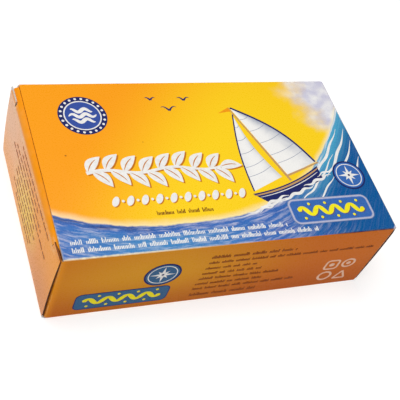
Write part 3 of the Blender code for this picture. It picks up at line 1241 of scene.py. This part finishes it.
class CARTON_OT_board(Operator):
    """Fold the carton's board and print its soft fields of colour"""

    bl_idname = "carton.board"
    bl_label = "Folded board"

    def execute(self, context):
        carton, colours = tools(context)
        declare(board_piece(carton, colours))
        return {"FINISHED"}


class CARTON_OT_badge(Operator):
    """Print the round badge at the left of the top panel and of the base"""

    bl_idname = "carton.badge"
    bl_label = "Round badge"

    def execute(self, context):
        carton, colours = tools(context)
        centre, outer, inner = np.array([17.5, 49.4]), 7.45, 5.75
        for ink in pieces(carton, ("top_badge", "base_badge")):
            ink.disc(centre, outer, "rim", 72)
            ink.disc(centre, inner, "field", 64)
            ink.hoop(centre, inner, 5.35, "white")
            for bead in circle(centre, 6.62, 22):
                ink.disc(bead, 0.42, "white", 12)
            ink.move(centre)
            for rise, wide in ((2.0, 3.3), (0.0, 4.3), (-2.0, 3.4)):
                waving_stroke(ink, -wide, wide, lambda a: rise + 0.62 * np.sin(a * 1.55),
                              tapered(30, 0.62, 0.06, 0.5), "white")
            ink.piece({"rim": colours.navy, "field": colours.badge_blue, "white": colours.white})
        return {"FINISHED"}


class CARTON_OT_branch(Operator):
    """Print the large white branch and the row of beads under it"""

    bl_idname = "carton.branch"
    bl_label = "Branch"

    def execute(self, context):
        carton, colours = tools(context)
        for ink in pieces(carton, ("top_branch", "base_branch")):
            for shift, part, rib in ((0.42, "shadow", None), (0.0, "white", "shadow")):
                start = (13.6 + shift, 27.8 - shift)
                leafy_branch(ink, start, 42.0, 12.4, 8, part, rib)
                bead_row(ink, (19.6 + shift * 0.7, 17.4 - shift * 0.7), 4.35, 10, 1.7, part)
            ink.piece({"white": colours.white, "shadow": colours.shadow})
        return {"FINISHED"}


class CARTON_OT_boat(Operator):
    """Print the sailing boat on the swell, the foam round it, and the gulls"""

    bl_idname = "carton.boat"
    bl_label = "Boat and gulls"

    def execute(self, context):
        carton, colours = tools(context)
        ink = Ink("boat_picture", carton.top, 2)
        for first, last, under, widest in SWELL_FOAM:
            waving_stroke(
                ink, first, last, lambda a: sea_edge(a) - under + 0.35 * np.sin(a * 0.9 + under),
                tapered(26, widest, 0.05, 1.2), "foam",
            )
        ink.move((77.6, 16.6), math.radians(20.0))
        draw_boat(ink)
        ink.move()
        draw_gulls(ink)
        ink.piece({
            "sail": sail_finish(colours), "hull": colours.navy, "spar": colours.tan,
            "seam": colours.grey, "pennant": colours.orange, "foam": colours.white,
        })
        return {"FINISHED"}


class CARTON_OT_signs(Operator):
    """Print the blue plates with yellow waves and the compass badges beside them"""

    bl_idname = "carton.signs"
    bl_label = "Plates and compass badges"

    def execute(self, context):
        carton, colours = tools(context)
        sea, far, cloud, navy = colours.sea, colours.far_sea, colours.cloud, colours.navy
        shared = {
            "gold": colours.sign_yellow, "shade": between(sea, colours.brown, 0.6),
            "rim": navy, "star": colours.white,
        }
        glow = {
            "outer edge": between(far, cloud, 0.4), "edge": between(far, cloud, 0.9),
            "inner edge": between(sea, cloud, 0.5), "field": sea, **shared,
        }
        plain = {
            "outer edge": navy, "edge": between(navy, sea, 0.5),
            "field": shaded(sea, (1.0, 0.9, 0.6)), **shared,
        }
        for ink in pieces(carton, ("top_sign", "front_sign", "back_sign"), 3):
            if ink.name == "top_sign":
                edges = (("outer edge", 0.85), ("edge", 0.62), ("inner edge", 0.25))
                sign_plate(ink, (72.6, 5.2), (99.6, 12.9), edges)
                compass_badge(ink, (98.0, 21.4), 5.6)
                ink.piece(glow)
            else:
                sign_plate(ink, (8.4, 3.2), (36.2, 10.8), (("outer edge", 0.35), ("edge", 0.1)))
                compass_badge(ink, (32.0, 17.4), 5.6)
                ink.piece(plain, SIDE_SHINE)
        return {"FINISHED"}


class CARTON_OT_small_print(Operator):
    """Print the lines of plain ticks that stand where a carton has its small print"""

    bl_idname = "carton.small_print"
    bl_label = "Small print"

    def execute(self, context):
        carton, colours = tools(context)
        brown, white = colours.brown, colours.white
        clear = between(brown, colours.side_deep, 0.2)
        faint = between(brown, colours.side_deep, 0.55)
        prints = {
            "front_small_print": (SIDE_LINES, clear, SIDE_SHINE),
            "back_small_print": (SIDE_LINES, clear, SIDE_SHINE),
            "left_small_print": (END_LINES, faint, END_SHINE),
            "right_small_print": (END_LINES, faint, END_SHINE),
            "top_small_print": (TOP_LINES, brown, TOP_SHINE),
            "base_small_print": (BASE_LINES, brown, TOP_SHINE),
            "top_sea_print": (SEA_LINES, white, TOP_SHINE),
            "base_sea_print": (SEA_LINES, white, TOP_SHINE),
        }
        for seed, ink in enumerate(pieces(carton, prints, 3)):
            lines, colour, shine = prints[ink.name]
            for number, line in enumerate(lines):
                small_print(ink, *line, 100 * seed + number)
            ink.piece({"print": colour}, shine)
        return {"FINISHED"}


class CARTON_OT_symbols(Operator):
    """Print four plain pale outlines, a square, two rings and a triangle, on both sides"""

    bl_idname = "carton.symbols"
    bl_label = "Plain symbols"

    def execute(self, context):
        carton, colours = tools(context)
        square, dotted_ring, wide_ring = (90.9, 12.0), (97.0, 12.2), (90.9, 5.6)
        corners = np.array([[94.9, 3.4], [99.2, 3.4], [97.05, 7.6], [94.9, 3.4]])
        for ink in pieces(carton, ("front_symbols", "back_symbols")):
            box = rounded_plate((88.6, 9.6), (93.2, 14.4), 1.1)
            ink.stroke(np.vstack([box, box[:1]]), 0.36)
            ink.disc(square, 0.95)
            ink.hoop(dotted_ring, 2.5, 1.75)
            ink.disc(dotted_ring, 0.8)
            ink.hoop(wide_ring, 2.6, 1.8)
            for start, end in zip(corners, corners[1:]):
                ink.stroke(np.linspace(start, end, 4), 0.34)
            ink.piece({"print": between(colours.peach_sheen, colours.white, 0.25)}, SIDE_SHINE)
        return {"FINISHED"}


class CARTON_OT_stage(Operator):
    """Set the pale floor, the soft lights and the camera"""

    bl_idname = "carton.stage"
    bl_label = "Studio"

    def execute(self, context):
        studio = context.scene.studio_settings
        set_floor(studio)
        set_lights(context.scene, studio)
        set_camera(context.scene, studio)
        return {"FINISHED"}


def set_floor(studio):
    """A wide light table: a pale floor with a faint grain, lit a little from below."""
    finish = Finish("floor", 0.55)
    place, *_ = finish.millimetres()
    grain = finish.noise(place, 0.05, 4.0)
    finish.put("Base Color", finish.mix(grain, shaded(studio.floor, 0.97), studio.floor))
    finish.put("Emission Color", WHITE)
    finish.put("Emission Strength", studio.floor_glow)
    mesh = bpy.data.meshes.new("floor")
    corners = [(-FLOOR, -FLOOR), (FLOOR, -FLOOR), (FLOOR, FLOOR), (-FLOOR, FLOOR)]
    mesh.from_pydata([(x, y, 0.0) for x, y in corners], [], [(0, 1, 2, 3)])
    mesh.materials.append(finish.material)
    add_object("floor", mesh)


def add_softbox(name, place, power):
    """A square soft light at a place, turned towards the carton."""
    light = bpy.data.lights.new(name, "AREA")
    light.size = SOFTBOX
    light.energy = power
    back = np.array(place) / np.linalg.norm(place)
    side = np.cross((0.0, 1.0, 0.0), back)
    side /= np.linalg.norm(side)
    turned = Matrix(np.stack([side, np.cross(back, side), back], axis=1).tolist()).to_4x4()
    add_object(name, light).matrix_world = Matrix.Translation(place) @ turned


def set_lights(scene, studio):
    """A large light overhead, weak ones at the left and in front, a little light all round."""
    add_softbox("key light", (-0.16, 0.02, 0.80), studio.key_power)
    add_softbox("side light", (-0.75, 0.05, 0.35), studio.side_power)
    add_softbox("front light", (0.15, -0.75, 0.30), studio.front_power)
    world = bpy.data.worlds.new("studio")
    world.use_nodes = True
    shade = world.node_tree.nodes["Background"]
    shade.inputs["Color"].default_value = (*WHITE, 1.0)
    shade.inputs["Strength"].default_value = studio.sky
    scene.world = world
    scene.view_settings.view_transform = "Standard"


def set_camera(scene, studio):
    """The camera: turned to its heading, dipped, then rolled about its own axis."""
    camera = bpy.data.cameras.new("camera")
    camera.lens = studio.lens
    camera.sensor_width = SENSOR
    camera.clip_start = 0.01
    scene.camera = add_object("camera", camera)
    scene.camera.matrix_world = (
        Matrix.Translation(studio.place)
        @ Matrix.Rotation(-studio.heading, 4, "Z")
        @ Matrix.Rotation(math.pi / 2 - studio.dip, 4, "X")
        @ Matrix.Rotation(studio.roll, 4, "Z")
    )


class CARTON_PT_panel(Panel):
    """The carton's settings and steps in the 3D view's sidebar"""

    bl_label = "Carton"
    bl_space_type = "VIEW_3D"
    bl_region_type = "UI"
    bl_category = "Carton"

    def draw(self, context):
        for step in STEPS:
            self.layout.operator(step.bl_idname)
        for group in GROUPS:
            settings = getattr(context.scene, group)
            box = self.layout.box()
            for name in settings.__annotations__:
                box.prop(settings, name)


STEPS = (
    CARTON_OT_board, CARTON_OT_badge, CARTON_OT_branch, CARTON_OT_boat, CARTON_OT_signs,
    CARTON_OT_small_print, CARTON_OT_symbols, CARTON_OT_stage,
)
GROUPS = {
    "carton_sizes": CartonSizes, "print_colours": PrintColours, "studio_settings": StudioSettings,
}
CLASSES = (*GROUPS.values(), *STEPS, CARTON_PT_panel)


def register():
    """Makes Blender know the classes, and gives each scene its groups of settings."""
    for each in CLASSES:
        bpy.utils.register_class(each)
    for name, group in GROUPS.items():
        setattr(bpy.types.Scene, name, PointerProperty(type=group))


def unregister():
    """Takes back all that register did."""
    for name in GROUPS:
        delattr(bpy.types.Scene, name)
    for each in reversed(CLASSES):
        bpy.utils.unregister_class(each)


def main():
    """Registers the add-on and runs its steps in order."""
    register()
    bpy.ops.carton.board()
    bpy.ops.carton.badge()
    bpy.ops.carton.branch()
    bpy.ops.carton.boat()
    bpy.ops.carton.signs()
    bpy.ops.carton.small_print()
    bpy.ops.carton.symbols()
    bpy.ops.carton.stage()


if __name__ == "__main__":
    main()
